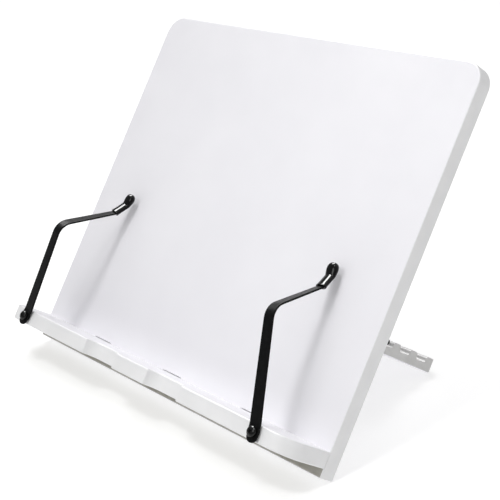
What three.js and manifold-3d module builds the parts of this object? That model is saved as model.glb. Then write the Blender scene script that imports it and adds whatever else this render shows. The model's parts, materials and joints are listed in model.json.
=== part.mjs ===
// Portable reading and drawing board: a white laminated panel that leans back on a fold-out
// rear flap, with a front ledge and two black sprung steel arms that hold the page down.
//
// Everything is built in the panel's own axes and then tilted as one group:
//   x  to the right along the bottom edge, zero on the centre line
//   y  up the panel, zero at its bottom edge
//   z  out of the panel's front face, zero on that face
// The finished group stands on z = 0 with +Y to the back and the origin under its middle.

import * as THREE from 'three';
import { mergeVertices } from 'three/addons/utils/BufferGeometryUtils.js';
import Module from 'manifold-3d';

const wasm = await Module();
wasm.setup();

// ---- driving dimensions, millimetres and degrees ----
const GAP = 0.3; // clearance left between pieces that touch
const SKIN = 0.01; // how far a cutting shape stands out past the face that it cuts
const LEAN = 30; // the panel leans back this far from upright

const PANEL = { width: 276, height: 240, thick: 11, corner: 12.5 };

const LEDGE = { bottom: 5.4, thick: 9.6, depth: 34, corner: 15 };
const SCOOP = { x: 31.5, width: 31, depth: 8 }; // finger scoops in the ledge's front edge
const TAB = { spacing: 74, width: 17, depth: 7, slack: 0.8 }; // tabs that plug the ledge into the panel
const TAB_SCREW = { head: 3.6, headDepth: 2, shank: 1.7, length: 20 };

const ARM = {
  x: 114, y: 10.2, tilt: 10.4, // pivot on the ledge, and the inward tilt at rest
  thick: 1.2,
  footWidth: 8, footBack: 1.8, // the foot's round end is centred this far behind the pivot
  bendWidth: 6.6, tipWidth: 4.8,
  reach: 65.4, rise: 11.6, // top of the lower run: distance from the pivot, and how far it leans out
  bend: 9.5,
};
// The cap over the strip's end slopes down to its crease and then runs level along the page.
const TIP = {
  // Each place is the distance from the pivot and the height over the panel.
  mouth: [86.5, 12.5], crease: [94.4, 7], toe: [100.1, 6.4],
  width: 7.3, toeWidth: 7.8,
  half: 1.85, toeHalf: 2.4,
  stripEnd: 97.5,
};
const WASHER = { radius: 3.2, thick: 0.8 };
const ARM_SCREW = { head: 3.1, headHeight: 2, shank: 1.7, length: 12, hole: 2.05 };
const INSERT = { radius: 2.7, bore: 2, length: 9 };

const FLAP = { width: 151, length: 130, thick: 9.5, rootGap: 0.5, corner: 4 };
const GROOVE = { first: 78.7, pitch: 18.1, count: 3, width: 10.5, depth: 4.5, corner: 2.4, rim: 2 };

const HINGE = {
  x: 50, width: 26, leaf: 17, thick: 1,
  barrel: 2.2, pin: 1.1, bore: 1.4,
  screwX: 8, screwOut: 0.55, // screws: half spacing, and place along the leaf as a share of it
};
const HINGE_SCREW = { head: 1.9, headDepth: 0.9, shank: 1, length: 7 };

const BAIL = { radius: 1.6, pivotY: 110, pivotHeight: 3, legGap: 1.4, end: 13, bend: 4.5 };
const CLIP = { width: 7, thick: 1.2, inner: 1.9, flange: 7, screw: 6.2 };

const WHITE = 0xf2f1f3;
const BLACK = 0x141414;
const STEEL = 0xb9bbbd;
const BRASS = 0xb59a55;

// ---- places worked out from the dimensions ----
const lean = THREE.MathUtils.degToRad(LEAN);
const ledgeTop = LEDGE.bottom + LEDGE.thick;
const ledgeMiddle = LEDGE.bottom + LEDGE.thick / 2;
const backFace = -PANEL.thick;
// The flap stands square to the panel, so its tip meets the floor when its underside is this high.
const flapUnder = (FLAP.length + FLAP.rootGap) * Math.tan(lean);
const flapTop = flapUnder + FLAP.thick;
const flapRoot = backFace - FLAP.rootGap;
const hingeY = flapTop + GAP + HINGE.barrel;
const hingeZ = backFace - GAP - HINGE.barrel;
const strapZ = LEDGE.depth + GAP + WASHER.thick + GAP + ARM.thick / 2;

// ---- materials ----
function finish(color, roughness, metalness) {
  return new THREE.MeshStandardMaterial({ color, roughness, metalness });
}
const laminate = finish(WHITE, 0.45, 0);
const blackPaint = finish(BLACK, 0.4, 0.2);
const blackPlastic = finish(BLACK, 0.15, 0);
const plated = finish(STEEL, 0.3, 0.9);
const brass = finish(BRASS, 0.35, 0.9);

// ---- solids and booleans ----
function toSolid(geometry) {
  const bare = geometry.clone();
  bare.deleteAttribute('normal');
  bare.deleteAttribute('uv');
  const merged = mergeVertices(bare, 1e-4);
  const vertProperties = new Float32Array(merged.attributes.position.array);
  const triVerts = new Uint32Array(merged.index.array);
  return new wasm.Manifold(new wasm.Mesh({ numProp: 3, vertProperties, triVerts }));
}

function toGeometry(solid) {
  const mesh = solid.getMesh();
  const geometry = new THREE.BufferGeometry();
  geometry.setAttribute('position', new THREE.BufferAttribute(mesh.vertProperties, 3));
  geometry.setIndex(new THREE.BufferAttribute(mesh.triVerts, 1));
  geometry.computeVertexNormals();
  return geometry;
}

function combine(base, { within = [], add = [], cut = [] }) {
  let solid = toSolid(base);
  for (const piece of within) {
    solid = solid.intersect(toSolid(piece));
  }
  for (const piece of add) {
    solid = solid.add(toSolid(piece));
  }
  for (const piece of cut) {
    solid = solid.subtract(toSolid(piece));
  }
  return toGeometry(solid);
}

// ---- shape helpers ----
function box(x0, x1, y0, y1, z0, z1) {
  const geometry = new THREE.BoxGeometry(x1 - x0, y1 - y0, z1 - z0);
  return geometry.translate((x0 + x1) / 2, (y0 + y1) / 2, (z0 + z1) / 2);
}

// A plain cylinder along z between two heights.
function rod(radius, z0, z1, x = 0, y = 0, sides = 24) {
  const geometry = new THREE.CylinderGeometry(radius, radius, z1 - z0, sides);
  return geometry.rotateX(Math.PI / 2).translate(x, y, (z0 + z1) / 2);
}

function extrude(shape, depth, curveSegments = 8) {
  return new THREE.ExtrudeGeometry(shape, { depth, bevelEnabled: false, curveSegments });
}

// Extrudes an outline drawn as (y, z) along x, centred on x = 0.
function extrudeAcross(shape, width, curveSegments = 8) {
  const geometry = extrude(shape, width, curveSegments);
  const turn = new THREE.Matrix4().makeBasis(
    new THREE.Vector3(0, 1, 0),
    new THREE.Vector3(0, 0, 1),
    new THREE.Vector3(1, 0, 0),
  );
  return geometry.applyMatrix4(turn).translate(-width / 2, 0, 0);
}

// Turns a list of (radius, z) points about the z axis. The list starts and ends on the axis.
function turned(points, sides) {
  const profile = points.map(([radius, z]) => new THREE.Vector2(radius, z));
  return new THREE.LatheGeometry(profile, sides).rotateX(Math.PI / 2);
}

// A countersunk screw along z: its flat head lies at z = 0 and its point is at z = length.
function countersunkScrew({ head, headDepth, shank, length }) {
  return turned([[0, 0], [head, 0], [shank, headDepth], [shank, length - shank], [0, length]], 16);
}

// The same screw with clearance all round, for cutting its hole.
function widened({ head, headDepth, shank, length }) {
  return { head: head + GAP, headDepth: headDepth + GAP, shank: shank + GAP, length: length + 2 * GAP };
}

function mesh(name, geometry, material) {
  const piece = new THREE.Mesh(geometry, material);
  piece.name = name;
  return piece;
}

// One mesh for each of a set of identical fasteners, numbered from the left.
function numbered(name, geometries) {
  return geometries.map((geometry, index) => mesh(`${name}_${index + 1}`, geometry, plated));
}

// ---- panel ----
function roundedTopShape({ width, height, corner }) {
  const half = width / 2;
  const shape = new THREE.Shape();
  shape.moveTo(-half, 0);
  shape.lineTo(half, 0);
  shape.lineTo(half, height - corner);
  shape.absarc(half - corner, height - corner, corner, 0, Math.PI / 2);
  shape.lineTo(-half + corner, height);
  shape.absarc(-half + corner, height - corner, corner, Math.PI / 2, Math.PI);
  return shape;
}

function tabPositions() {
  return [-TAB.spacing, 0, TAB.spacing];
}

function buildPanel() {
  const slab = extrude(roundedTopShape(PANEL), PANEL.thick, 10).translate(0, 0, backFace);
  const cut = [];
  for (const x of tabPositions()) {
    const half = TAB.width / 2 + GAP;
    cut.push(box(x - half, x + half, LEDGE.bottom - GAP, ledgeTop + TAB.slack, -TAB.depth - GAP, 1));
    cut.push(tabScrewHole(x));
  }
  cut.push(...hingeScrewPlaces(1).map((place) => place.hole));
  for (const sign of [-1, 1]) {
    cut.push(...clipScrewPlaces(sign).map((place) => place.hole));
  }
  return mesh('board_panel', combine(slab, { cut }), laminate);
}

// Clearance for one ledge screw, driven from the panel's back face towards +z.
function tabScrewHole(x) {
  return countersunkScrew(widened(TAB_SCREW)).translate(x, ledgeMiddle, backFace - SKIN);
}

// ---- front ledge ----
function ledgeShape() {
  const half = PANEL.width / 2;
  const front = LEDGE.depth;
  const tabEnd = -TAB.depth;
  const shape = new THREE.Shape();
  shape.moveTo(-half, GAP);
  for (const x of tabPositions()) {
    shape.lineTo(x - TAB.width / 2, GAP);
    shape.lineTo(x - TAB.width / 2, tabEnd);
    shape.lineTo(x + TAB.width / 2, tabEnd);
    shape.lineTo(x + TAB.width / 2, GAP);
  }
  shape.lineTo(half, GAP);
  shape.lineTo(half, front - LEDGE.corner);
  shape.absarc(half - LEDGE.corner, front - LEDGE.corner, LEDGE.corner, 0, Math.PI / 2);
  for (const x of [SCOOP.x, -SCOOP.x]) {
    const reach = SCOOP.width / 2;
    shape.lineTo(x + reach, front);
    shape.absarc(x + reach - SCOOP.depth, front, SCOOP.depth, 0, -Math.PI / 2, true);
    shape.absarc(x - reach + SCOOP.depth, front, SCOOP.depth, -Math.PI / 2, -Math.PI, true);
  }
  shape.lineTo(-half + LEDGE.corner, front);
  shape.absarc(-half + LEDGE.corner, front - LEDGE.corner, LEDGE.corner, Math.PI / 2, Math.PI);
  return shape;
}

function buildLedge() {
  // The outline is drawn as (x, z) and extruded along y.
  const slab = extrude(ledgeShape(), LEDGE.thick, 7).rotateX(Math.PI / 2);
  slab.translate(0, ledgeTop, 0);
  const cut = tabPositions().map(tabScrewHole);
  const front = LEDGE.depth;
  for (const x of [-ARM.x, ARM.x]) {
    cut.push(rod(INSERT.radius + GAP, front - INSERT.length - GAP, front + 1, x, ARM.y));
    cut.push(rod(ARM_SCREW.shank + GAP, front - ARM_SCREW.length, front, x, ARM.y));
  }
  return mesh('front_ledge', combine(slab, { cut }), laminate);
}

function buildLedgeScrews() {
  const screws = tabPositions().map((x) => {
    return countersunkScrew(TAB_SCREW).translate(x, ledgeMiddle, backFace + GAP / 2);
  });
  return numbered('ledge_screw', screws);
}

// ---- page arms ----
// Centre line of the steel strip as (distance from the pivot, height over the panel's face).
function strapLine() {
  const inToe = (TIP.stripEnd - TIP.crease[0]) / (TIP.toe[0] - TIP.crease[0]);
  const corners = [
    [-ARM.footBack - ARM.footWidth / 2 - 1, strapZ],
    [4.8, strapZ],
    [ARM.reach, strapZ + ARM.rise],
    TIP.mouth,
    TIP.crease,
    [TIP.stripEnd, THREE.MathUtils.lerp(TIP.crease[1], TIP.toe[1], inToe)],
  ].map(([s, h]) => new THREE.Vector2(s, h));
  return roundCorners(corners, [0, 2, ARM.bend, 4, 4, 0], 5);
}

// Replaces each inner corner of a polyline by an arc of its own radius.
function roundCorners(points, radii, steps) {
  const line = [points[0]];
  for (let i = 1; i < points.length - 1; i++) {
    const into = points[i].clone().sub(points[i - 1]).normalize();
    const out = points[i + 1].clone().sub(points[i]).normalize();
    const turn = Math.atan2(into.cross(out), into.dot(out));
    const setback = radii[i] * Math.tan(Math.abs(turn) / 2);
    const start = points[i].clone().addScaledVector(into, -setback);
    const sign = Math.sign(turn);
    const centre = start.clone().add(new THREE.Vector2(-into.y, into.x).multiplyScalar(radii[i] * sign));
    for (let k = 0; k <= steps; k++) {
      const angle = (turn * k) / steps;
      line.push(start.clone().rotateAround(centre, angle));
    }
  }
  line.push(points[points.length - 1]);
  return line;
}

// A closed band around a centre line. half gives half its thickness at each point of the line.
function bandShape(line, half) {
  const side = (sign) => line.map((point, i) => {
    const before = line[Math.max(i - 1, 0)];
    const after = line[Math.min(i + 1, line.length - 1)];
    const along = after.clone().sub(before).normalize();
    const across = new THREE.Vector2(-along.y, along.x);
    return point.clone().addScaledVector(across, sign * half(point));
  });
  return new THREE.Shape([...side(-1), ...side(1).reverse()]);
}

// The strip seen from the front: a round foot, widest there and narrowing to the tip.
function stripPlan() {
  const foot = ARM.footWidth / 2;
  const sides = [[foot, -ARM.footBack], [ARM.bendWidth / 2, ARM.reach], [ARM.tipWidth / 2, TIP.mouth[0]]];
  const shape = new THREE.Shape();
  shape.moveTo(-foot, -ARM.footBack);
  shape.absarc(0, -ARM.footBack, foot, Math.PI, 2 * Math.PI);
  for (const [half, s] of sides.slice(1)) {
    shape.lineTo(half, s);
  }
  shape.lineTo(ARM.tipWidth / 2, TIP.toe[0] + 10);
  shape.lineTo(-ARM.tipWidth / 2, TIP.toe[0] + 10);
  for (const [half, s] of sides.slice(1).reverse()) {
    shape.lineTo(-half, s);
  }
  return extrude(shape, strapZ + ARM.rise + 10, 12);
}

function buildStrap(name) {
  const strip = extrudeAcross(bandShape(strapLine(), () => ARM.thick / 2), ARM.footWidth + 1);
  const low = strapZ - ARM.thick / 2;
  const hole = rod(ARM_SCREW.hole, low - 1, low + ARM.thick + 1);
  return mesh(name, combine(strip, { within: [stripPlan()], cut: [hole] }), blackPaint);
}

// The cap seen from the front: parallel sides that widen a little to the round toe.
function tipPlan() {
  const toe = TIP.toeWidth / 2;
  const toeCentre = TIP.toe[0] + TIP.toeHalf - toe;
  const shape = new THREE.Shape();
  shape.moveTo(-TIP.width / 2, TIP.mouth[0] - 5);
  shape.lineTo(TIP.width / 2, TIP.mouth[0] - 5);
  shape.lineTo(TIP.width / 2, TIP.crease[0]);
  shape.lineTo(toe, toeCentre);
  shape.absarc(0, toeCentre, toe, 0, Math.PI);
  shape.lineTo(-TIP.width / 2, TIP.crease[0]);
  shape.closePath();
  return extrude(shape, 30, 12);
}

// A dipped plastic cap over the strip's end, whose level toe holds the page.
function buildTip(name) {
  const corners = [TIP.mouth, TIP.crease, TIP.toe].map(([s, h]) => new THREE.Vector2(s, h));
  const line = roundCorners(corners, [0, 4, 0], 5);
  const swell = (point) => THREE.MathUtils.smoothstep(point.x, TIP.crease[0] - 1, TIP.crease[0] + 3);
  const half = (point) => TIP.half + (TIP.toeHalf - TIP.half) * swell(point);
  const cap = extrudeAcross(bandShape(line, half), TIP.toeWidth + 1);
  const round = new THREE.CylinderGeometry(TIP.toeHalf, TIP.toeHalf, TIP.toeWidth + 1, 20);
  round.rotateZ(Math.PI / 2).translate(0, TIP.toe[0], TIP.toe[1]);
  const pocket = extrudeAcross(bandShape(strapLine(), () => ARM.thick / 2 + GAP), ARM.tipWidth + 2 * GAP);
  const pocketEnd = pocket.clone().translate(0, GAP, 0);
  const whole = combine(cap, { add: [round] });
  return mesh(name, combine(whole, { within: [tipPlan()], cut: [pocket, pocketEnd] }), blackPlastic);
}

function buildArm(side, sign) {
  const arm = new THREE.Group();
  arm.position.set(sign * ARM.x, ARM.y, 0);
  arm.rotation.z = sign * THREE.MathUtils.degToRad(ARM.tilt);
  arm.add(buildStrap(`${side}_arm`));
  arm.add(buildTip(`${side}_arm_tip`));
  return arm;
}

function buildArmFixing(side, sign) {
  const fixing = new THREE.Group();
  fixing.position.set(sign * ARM.x, ARM.y, 0);

  const washerLow = LEDGE.depth + GAP;
  const washer = combine(rod(WASHER.radius, washerLow, washerLow + WASHER.thick), {
    cut: [rod(ARM_SCREW.hole, washerLow - 1, washerLow + WASHER.thick + 1)],
  });
  fixing.add(mesh(`${side}_arm_washer`, washer, blackPaint));

  fixing.add(mesh(`${side}_arm_screw`, panHeadScrew(), blackPaint));

  const insertLow = LEDGE.depth - INSERT.length;
  const insert = combine(rod(INSERT.radius, insertLow, LEDGE.depth - GAP), {
    cut: [rod(INSERT.bore, insertLow - 1, LEDGE.depth + 1)],
  });
  fixing.add(mesh(`${side}_arm_insert`, insert, brass));
  return fixing;
}

// A pan-head screw whose head holds the strip's eye and whose shank sits in the insert.
function panHeadScrew() {
  const { head, headHeight, shank, length } = ARM_SCREW;
  const seat = strapZ + ARM.thick / 2 + GAP;
  const end = LEDGE.depth - length + 2 * GAP;
  return turned([
    [0, end], [shank, end], [shank, seat], [head, seat], [head, seat + 0.35 * headHeight],
    [0.86 * head, seat + 0.7 * headHeight], [0.55 * head, seat + 0.92 * headHeight],
    [0, seat + headHeight],
  ], 24);
}

// ---- rear flap ----
function buildFlap() {
  const half = FLAP.width / 2;
  const tip = flapRoot - FLAP.length;
  const shape = new THREE.Shape();
  // Drawn as (x, -z), so the tip is the high end.
  shape.moveTo(-half, -flapRoot);
  shape.lineTo(half, -flapRoot);
  shape.lineTo(half, -tip - FLAP.corner);
  shape.absarc(half - FLAP.corner, -tip - FLAP.corner, FLAP.corner, 0, Math.PI / 2);
  shape.lineTo(-half + FLAP.corner, -tip);
  shape.absarc(-half + FLAP.corner, -tip - FLAP.corner, FLAP.corner, Math.PI / 2, Math.PI);
  const slab = extrude(shape, FLAP.thick, 5).rotateX(-Math.PI / 2).translate(0, flapUnder, 0);
  const cut = [];
  for (let index = 0; index < GROOVE.count; index++) {
    cut.push(grooveCut(index));
  }
  cut.push(...hingeScrewPlaces(-1).map((place) => place.hole));
  return mesh('rear_flap', combine(slab, { cut }), laminate);
}

function grooveZ(index) {
  return backFace - GROOVE.first - index * GROOVE.pitch;
}

// A wide groove across the flap's upper face, with rounded corners below and rounded rims.
function grooveCut(index) {
  const { width, depth, corner, rim } = GROOVE;
  const z = grooveZ(index);
  const wall = width / 2;
  const outer = wall + rim;
  const rimY = flapTop - rim;
  const cornerY = flapTop - depth + corner;
  const shape = new THREE.Shape();
  shape.moveTo(flapTop + 1, z - outer);
  shape.lineTo(flapTop + 1, z + outer);
  shape.absarc(rimY, z + outer, rim, 0, -Math.PI / 2, true);
  shape.absarc(cornerY, z + wall - corner, corner, Math.PI / 2, Math.PI);
  shape.absarc(cornerY, z - wall + corner, corner, Math.PI, (3 * Math.PI) / 2);
  shape.absarc(rimY, z - outer, rim, Math.PI / 2, 0, true);
  shape.closePath();
  return extrudeAcross(shape, FLAP.width + 2, 5);
}

// ---- hinges ----
// Screws and screw holes of both leaves. side 1 is the panel's leaf and -1 is the flap's leaf.
function hingeScrewPlaces(side) {
  const out = HINGE.barrel + HINGE.leaf * HINGE.screwOut;
  const face = GAP + HINGE.thick;
  const places = [];
  for (const hinge of [-HINGE.x, HINGE.x]) {
    for (const offset of [-HINGE.screwX, HINGE.screwX]) {
      const hole = countersunkScrew(widened(HINGE_SCREW)).translate(0, 0, -SKIN);
      const screw = countersunkScrew(HINGE_SCREW).translate(0, 0, GAP / 2);
      for (const solid of [hole, screw]) {
        if (side > 0) {
          solid.translate(hinge + offset, hingeY + out, backFace - face);
        } else {
          solid.rotateX(Math.PI / 2).translate(hinge + offset, flapTop + face, hingeZ - out);
        }
      }
      places.push({ hole, screw });
    }
  }
  return places;
}

// One leaf about the pin's axis. knuckles lists which of the three barrel lengths it owns.
function hingeLeaf(plate, knuckles, holes, x) {
  const length = HINGE.width / 3;
  const clear = HINGE.barrel + 2 * GAP;
  const add = [];
  const cut = [];
  for (const index of [0, 1, 2]) {
    const left = x - HINGE.width / 2 + index * length;
    const right = left + length;
    if (knuckles.includes(index)) {
      add.push(barrel(HINGE.barrel, left + GAP / 2, right - GAP / 2));
    } else {
      const room = box(left - GAP / 2, right + GAP / 2, -clear, clear, -clear, clear);
      cut.push(room.translate(0, hingeY, hingeZ));
    }
  }
  const bore = barrel(HINGE.bore, x - HINGE.width, x + HINGE.width);
  return combine(combine(plate, { cut }), { add, cut: [bore, ...holes] });
}

function barrel(radius, x0, x1) {
  const geometry = new THREE.CylinderGeometry(radius, radius, x1 - x0, 20);
  return geometry.rotateZ(Math.PI / 2).translate((x0 + x1) / 2, hingeY, hingeZ);
}

function buildHinge(side, sign) {
  const x = sign * HINGE.x;
  const half = HINGE.width / 2;
  const reach = HINGE.barrel + HINGE.leaf;
  const back = backFace - GAP;
  const under = flapTop + GAP;
  const panelPlate = box(x - half, x + half, hingeY, hingeY + reach, back - HINGE.thick, back);
  const flapPlate = box(x - half, x + half, under, under + HINGE.thick, hingeZ - reach, hingeZ);
  const panelHoles = hingeScrewPlaces(1).map((place) => place.hole);
  const flapHoles = hingeScrewPlaces(-1).map((place) => place.hole);
  const pin = barrel(HINGE.pin, x - half, x + half);
  return [
    mesh(`${side}_hinge_panel_leaf`, hingeLeaf(panelPlate, [0, 2], panelHoles, x), plated),
    mesh(`${side}_hinge_flap_leaf`, hingeLeaf(flapPlate, [1], flapHoles, x), plated),
    mesh(`${side}_hinge_pin`, pin, plated),
  ];
}

function buildHingeScrews(name, side) {
  return numbered(name, hingeScrewPlaces(side).map((place) => place.screw));
}

// ---- wire bail and its clips ----
const bailPivotZ = backFace - BAIL.pivotHeight;
const bailHalf = FLAP.width / 2 + BAIL.legGap + BAIL.radius;
// The crossbar lies on the floor of the first groove, at the foot of its inner wall.
const bailFoot = {
  y: flapTop - GROOVE.depth + BAIL.radius + GAP,
  z: grooveZ(0) + GROOVE.width / 2 - GROOVE.corner,
};

// The wire: a turned-out end in each clip, two legs and a crossbar lying in a groove.
function bailPath() {
  const outer = bailHalf + BAIL.end;
  const corners = [
    [-outer, BAIL.pivotY, bailPivotZ],
    [-bailHalf, BAIL.pivotY, bailPivotZ],
    [-bailHalf, bailFoot.y, bailFoot.z],
    [bailHalf, bailFoot.y, bailFoot.z],
    [bailHalf, BAIL.pivotY, bailPivotZ],
    [outer, BAIL.pivotY, bailPivotZ],
  ].map((place) => new THREE.Vector3(...place));
  const path = new THREE.CurvePath();
  let last = corners[0];
  for (let i = 1; i < corners.length - 1; i++) {
    const into = corners[i].clone().sub(corners[i - 1]).normalize();
    const out = corners[i + 1].clone().sub(corners[i]).normalize();
    const start = corners[i].clone().addScaledVector(into, -BAIL.bend);
    const end = corners[i].clone().addScaledVector(out, BAIL.bend);
    path.add(new THREE.LineCurve3(last, start));
    path.add(new THREE.QuadraticBezierCurve3(start, corners[i], end));
    last = end;
  }
  path.add(new THREE.LineCurve3(last, corners[corners.length - 1]));
  return path;
}

function circleShape(radius, sides) {
  const points = [];
  for (let i = 0; i < sides; i++) {
    const angle = (2 * Math.PI * i) / sides;
    points.push(new THREE.Vector2(radius * Math.cos(angle), radius * Math.sin(angle)));
  }
  return new THREE.Shape(points);
}

function buildBail() {
  const options = { steps: 90, bevelEnabled: false, extrudePath: bailPath() };
  const wire = new THREE.ExtrudeGeometry(circleShape(BAIL.radius, 10), options);
  return mesh('wire_bail', wire, blackPaint);
}

// A saddle clip: two flanges on the panel's back and an arch over the wire.
function clipShape() {
  const base = backFace - GAP;
  const outer = CLIP.inner + CLIP.thick;
  const reach = outer + CLIP.flange;
  const y = BAIL.pivotY;
  const shape = new THREE.Shape();
  shape.moveTo(y + reach, base);
  shape.lineTo(y + reach, base - CLIP.thick);
  shape.lineTo(y + outer, base - CLIP.thick);
  shape.absarc(y, bailPivotZ, outer, 0, -Math.PI, true);
  shape.lineTo(y - outer, base - CLIP.thick);
  shape.lineTo(y - reach, base - CLIP.thick);
  shape.lineTo(y - reach, base);
  shape.lineTo(y - CLIP.inner, base);
  shape.absarc(y, bailPivotZ, CLIP.inner, -Math.PI, 0);
  shape.lineTo(y + CLIP.inner, base);
  return shape;
}

function clipX(sign) {
  return sign * (bailHalf + BAIL.end - CLIP.width / 2 - 2);
}

function clipScrewPlaces(sign) {
  const places = [];
  for (const side of [-1, 1]) {
    const y = BAIL.pivotY + side * CLIP.screw;
    const face = backFace - GAP - CLIP.thick;
    places.push({
      hole: countersunkScrew(widened(HINGE_SCREW)).translate(clipX(sign), y, face - SKIN),
      screw: countersunkScrew(HINGE_SCREW).translate(clipX(sign), y, face + GAP / 2),
    });
  }
  return places;
}

function buildClip(name, sign) {
  const band = extrudeAcross(clipShape(), CLIP.width, 8).translate(clipX(sign), 0, 0);
  const cut = clipScrewPlaces(sign).map((place) => place.hole);
  return mesh(name, combine(band, { cut }), plated);
}

function buildClipScrews() {
  const screws = [-1, 1].flatMap((sign) => clipScrewPlaces(sign).map((place) => place.screw));
  return numbered('bail_clip_screw', screws);
}

// ---- assembly ----
const stand = new THREE.Group();
stand.add(buildPanel());
stand.add(buildLedge());
stand.add(...buildLedgeScrews());
for (const [side, sign] of [['left', -1], ['right', 1]]) {
  stand.add(buildArm(side, sign));
  stand.add(buildArmFixing(side, sign));
  stand.add(...buildHinge(side, sign));
  stand.add(buildClip(`${side}_bail_clip`, sign));
}
stand.add(buildFlap());
stand.add(...buildHingeScrews('hinge_panel_screw', 1));
stand.add(...buildHingeScrews('hinge_flap_screw', -1));
stand.add(buildBail());
stand.add(...buildClipScrews());

// Tilt the panel's axes back, then set the origin under the middle of the footprint.
stand.rotation.x = Math.PI / 2 - lean;
const group = new THREE.Group();
group.add(stand);
group.updateMatrixWorld(true);
const bounds = new THREE.Box3().setFromObject(group, true);
stand.position.set(0, -(bounds.min.y + bounds.max.y) / 2, -bounds.min.z);

export default group;
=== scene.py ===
import json
import math

import bmesh
import bpy
from mathutils import Matrix, Vector


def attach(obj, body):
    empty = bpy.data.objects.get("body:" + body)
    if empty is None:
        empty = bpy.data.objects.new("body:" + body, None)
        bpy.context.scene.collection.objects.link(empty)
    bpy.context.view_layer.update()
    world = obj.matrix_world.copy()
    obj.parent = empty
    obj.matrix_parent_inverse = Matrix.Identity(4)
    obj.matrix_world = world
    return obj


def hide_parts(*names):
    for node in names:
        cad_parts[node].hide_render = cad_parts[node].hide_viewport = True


# A white laminated reading and drawing board with two black page arms, a rear flap and a wire
# bail. The visible pieces are built in millimetres in the panel's own axes and then turned into
# the frame: x runs right along the bottom edge, y up the panel and z out of its front face.

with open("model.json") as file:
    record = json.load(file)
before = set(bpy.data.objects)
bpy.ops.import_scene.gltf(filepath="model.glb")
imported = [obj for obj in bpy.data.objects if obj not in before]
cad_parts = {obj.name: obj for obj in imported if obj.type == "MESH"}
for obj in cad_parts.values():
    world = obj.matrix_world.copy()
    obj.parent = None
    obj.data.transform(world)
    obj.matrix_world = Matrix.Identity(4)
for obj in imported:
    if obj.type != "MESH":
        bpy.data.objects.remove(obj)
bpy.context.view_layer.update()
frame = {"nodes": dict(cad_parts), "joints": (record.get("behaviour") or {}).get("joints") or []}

# ---- sizes in millimetres that the frame doesn't state ----
MM = 0.001
CUT = 0.4  # how far a cutter stands past the face that it cuts
SEAM = 0.04  # what is left of the gap where two boards butt
ROOM = 0.3  # the gap round a tab or an insert

PANEL_CORNER = 12.5
BOARD_EDGE = 0.9  # rounding of the panel's edges
LEDGE_EDGE = 1.0
LEDGE_CORNER = 15.0
SCOOP = {"x": 31.5, "width": 31.0, "depth": 8.0}
TAB = {"spacing": 74.0, "width": 17.0, "slack": 0.4}
TAB_X = (-TAB["spacing"], 0, TAB["spacing"])
SIDES = (("left", -1), ("right", 1))

# The arm's strip. foot, bend_half and tip_half are half widths, hole and bend are radii, foot_back
# is how far the middle of the round foot lies behind the pivot, and flat and reach are the
# distances from the pivot at which the centre line starts and ends its rise.
ARM = {
    "foot": 4.0, "foot_back": 1.8, "bend_half": 3.3, "tip_half": 2.4, "thick": 1.2, "hole": 2.05,
    "flat": 4.8, "reach": 65.4, "rise": 11.6, "bend": 9.5, "edge": 0.32,
}
ARM_TILT = math.radians(10.4)
# The cap's centre line as (distance from the pivot, height over the panel), the distance at which
# the strip ends inside it, and its half sizes.
TIP = {
    "mouth": (86.5, 12.5), "crease": (94.4, 7.0), "toe": (100.1, 6.4), "strip_end": 97.5,
    "wide": 3.65, "toe_wide": 3.9, "thin": 1.85, "toe_thin": 2.4,
}
TIP_SECTION = 0.92  # the power that squares the cap's section a little; 1 is an ellipse
ARM_SCREW = {"head": 3.1, "height": 2.0, "shank": 1.7, "pitch": 0.7, "recess": 1.1}
WASHER_EDGE = 0.2
INSERT = {"room": 0.2, "pitch": 1.1, "collar": 1.0}

FLAP_CORNER = 4.0
GROOVE = {"first": 78.7, "pitch": 18.1, "count": 3, "width": 10.5, "depth": 4.5, "corner": 2.4, "rim": 2.0}

HINGE = {
    "x": 50.0, "width": 26.0, "leaf": 17.0, "thick": 1.0, "barrel": 2.2, "pin": 1.1, "bore": 1.4,
    "gap": 0.15, "clear": 0.6, "corner": 2.0, "edge": 0.15,
}
HINGE_SCREW_X = 8.0
HINGE_SCREW_OUT = 0.55  # as a share of the leaf
SMALL_SCREW = {"head": 1.9, "depth": 0.9, "shank": 1.0, "length": 7.0, "pitch": 0.8}
LEDGE_SCREW = {"head": 3.6, "depth": 2.0, "shank": 1.7, "length": 20.0, "pitch": 1.4}
LEDGE_SCREW_SINK = 0.1  # how far its head lies below the panel's back
SCREW_ROOM = 0.15

WIRE = 1.6  # the bail's radius
WIRE_BEND = 4.5
BAIL_ROOM = 1.4  # between the flap's side and the bail's leg
CLIP = {"width": 7.0, "thick": 1.2, "inner": 1.9, "flange": 7.0, "screw": 6.2, "corner": 0.6}

# ---- the studio, in metres and degrees ----
WORLD = {"horizon": 0.25, "zenith": 0.55}
FLOOR = {"half": 14.0, "glow": 0.5}
# Each sun's name, direction, brightness and width.
SUNS = [
    ("key", (0.03, -0.33, 0.94), 0.25, 11),
    ("overhead", (0.0, 0.25, 0.97), 0.17, 70),
]
FILL = {"place": (0.12, -0.85, 0.75), "target": (0.12, 0.03, 0.2), "value": 0.285, "cone": 50, "radius": 0.25}
CARD = {"place": (-2.06, 0.57, 3.48), "target": (0, 0, 0.1), "size": (3.0, 1.2), "radiance": 38}
# The camera's place is measured from the middle of the panel's bottom edge, and its lens is in mm.
CAMERA = {"place": (0.5567, -0.4121, 0.3134), "azimuth": 49.07, "elevation": 17.62, "lens": 88.86}

JOINTS = {joint["name"]: joint for joint in frame["joints"]}


# ---- the panel's axes ----
def panel_turn():
    """Rotation from the panel's axes to the frame, from the axis that the page arms turn about."""
    out = Vector(JOINTS["right_arm_pivot"]["axis"])
    right = Vector((1, 0, 0))
    up = out.cross(right)
    return Matrix((right, up, out)).transposed()


TURN = panel_turn()


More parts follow.
